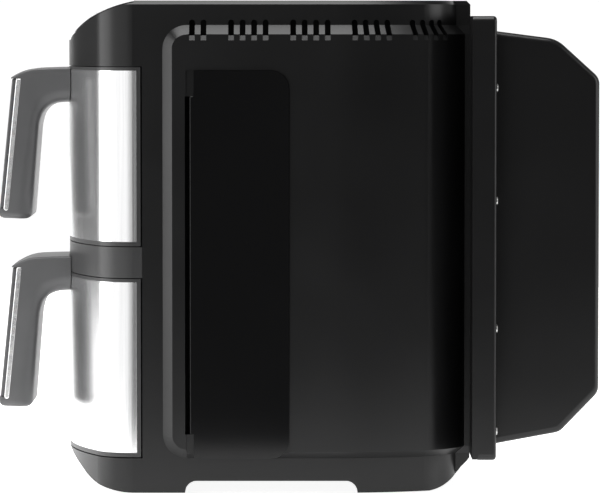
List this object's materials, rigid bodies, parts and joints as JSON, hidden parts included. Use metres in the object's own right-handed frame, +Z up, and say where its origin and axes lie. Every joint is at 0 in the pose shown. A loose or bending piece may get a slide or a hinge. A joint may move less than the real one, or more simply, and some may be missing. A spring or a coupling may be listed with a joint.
{
  "type": "air fryer",
  "caption": "Upright air fryer with stacked pull-out drawers, hanging grips, a bowed steel front, a gloss side door, side vents and a humped back.",
  "frame": {"origin": "on the ground under the middle of the machine's box", "axes": "+Z up, +Y to the back, +X to the side with the storage door; drawers pull out along -Y"},
  "size_m": [0.28, 0.477, 0.386],
  "materials": {
    "casing_plastic": "fine moulded texture, black",
    "front_plastic": "satin moulded plastic, dark grey black",
    "dark_plastic": "plain moulded plastic, black",
    "handle_plastic": "soft satin, dark grey",
    "door_gloss": "polished black",
    "touch_glass": "smooth black touch surface",
    "brushed_steel": "brushed along the height",
    "chrome": "polished",
    "steel_parts": "plain zinc-plated",
    "sheet_metal": "pressed sheet",
    "cavity_metal": "coated sheet",
    "element_sheath": "heat-darkened sheath",
    "motor_steel": "laminated steel",
    "aluminium_parts": "stamped",
    "nonstick": "non-stick coating",
    "silicone": "silicone",
    "rubber": "moulded rubber",
    "circuit_board": "solder-masked board"
  },
  "bodies": {
    "housing": {"base_tray": "casing_plastic", "rubber_feet": "rubber", "left_side_panel": "casing_plastic", "right_side_panel": "casing_plastic", "door_hinge_pin": "steel_parts", "top_cover": "casing_plastic", "control_glass": "touch_glass", "control_board": "circuit_board", "front_frame": "casing_plastic", "middle_band": "front_plastic", "rear_bulkhead": "sheet_metal", "power_board": "circuit_board", "rear_cover": "casing_plastic", "cord_gland": "rubber", "rear_cover_screws": "steel_parts", "lower_cavity": "cavity_metal", "lower_guide_rails": "dark_plastic", "lower_air_guard": "sheet_metal", "lower_heating_element": "element_sheath", "lower_motor": "motor_steel", "lower_temperature_sensor": "steel_parts", "lower_drawer_switch": "dark_plastic", "upper_cavity": "cavity_metal", "upper_guide_rails": "dark_plastic", "upper_air_guard": "sheet_metal", "upper_heating_element": "element_sheath", "upper_motor": "motor_steel", "upper_temperature_sensor": "steel_parts", "upper_drawer_switch": "dark_plastic"},
    "side_door": {"side_door": "door_gloss"},
    "lower_drawer": {"lower_drawer_front": "front_plastic", "lower_steel_skin": "brushed_steel", "lower_drawer_back": "dark_plastic", "lower_basket": "nonstick", "lower_handle": "handle_plastic", "lower_handle_cap": "handle_plastic", "lower_handle_trim": "chrome", "lower_handle_screws": "steel_parts"},
    "lower_plate": {"lower_crisper_plate": "nonstick", "lower_plate_bumpers": "silicone"},
    "lower_fan": {"lower_convection_fan": "aluminium_parts", "lower_fan_nut": "steel_parts", "lower_motor_shaft": "steel_parts", "lower_cooling_fan": "aluminium_parts"},
    "upper_drawer": {"upper_drawer_front": "front_plastic", "upper_steel_skin": "brushed_steel", "upper_drawer_back": "dark_plastic", "upper_basket": "nonstick", "upper_handle": "handle_plastic", "upper_handle_cap": "handle_plastic", "upper_handle_trim": "chrome", "upper_handle_screws": "steel_parts"},
    "upper_plate": {"upper_crisper_plate": "nonstick", "upper_plate_bumpers": "silicone"},
    "upper_fan": {"upper_convection_fan": "aluminium_parts", "upper_fan_nut": "steel_parts", "upper_motor_shaft": "steel_parts", "upper_cooling_fan": "aluminium_parts"}
  },
  "joints": [
    {"name": "side_door_hinge", "type": "hinge", "parent": "housing", "child": "side_door", "pos_m": [0.135, -0.0802, 0.17945], "axis": [0, 0, -1], "range_deg": [0, 85]},
    {"name": "lower_drawer_slide", "type": "slide", "parent": "housing", "child": "lower_drawer", "axis": [0, -1, 0], "range_m": [0, 0.2]},
    {"name": "lower_plate_lift", "type": "slide", "parent": "lower_drawer", "child": "lower_plate", "axis": [0, 0, 1], "range_m": [0, 0.08]},
    {"name": "lower_fan_spin", "type": "hinge", "parent": "housing", "child": "lower_fan", "pos_m": [0, 0.12, 0.0982], "axis": [0, 1, 0], "continuous": true},
    {"name": "upper_drawer_slide", "type": "slide", "parent": "housing", "child": "upper_drawer", "axis": [0, -1, 0], "range_m": [0, 0.2]},
    {"name": "upper_plate_lift", "type": "slide", "parent": "upper_drawer", "child": "upper_plate", "axis": [0, 0, 1], "range_m": [0, 0.08]},
    {"name": "upper_fan_spin", "type": "hinge", "parent": "housing", "child": "upper_fan", "pos_m": [0, 0.12, 0.2634], "axis": [0, 1, 0], "continuous": true}
  ]
}
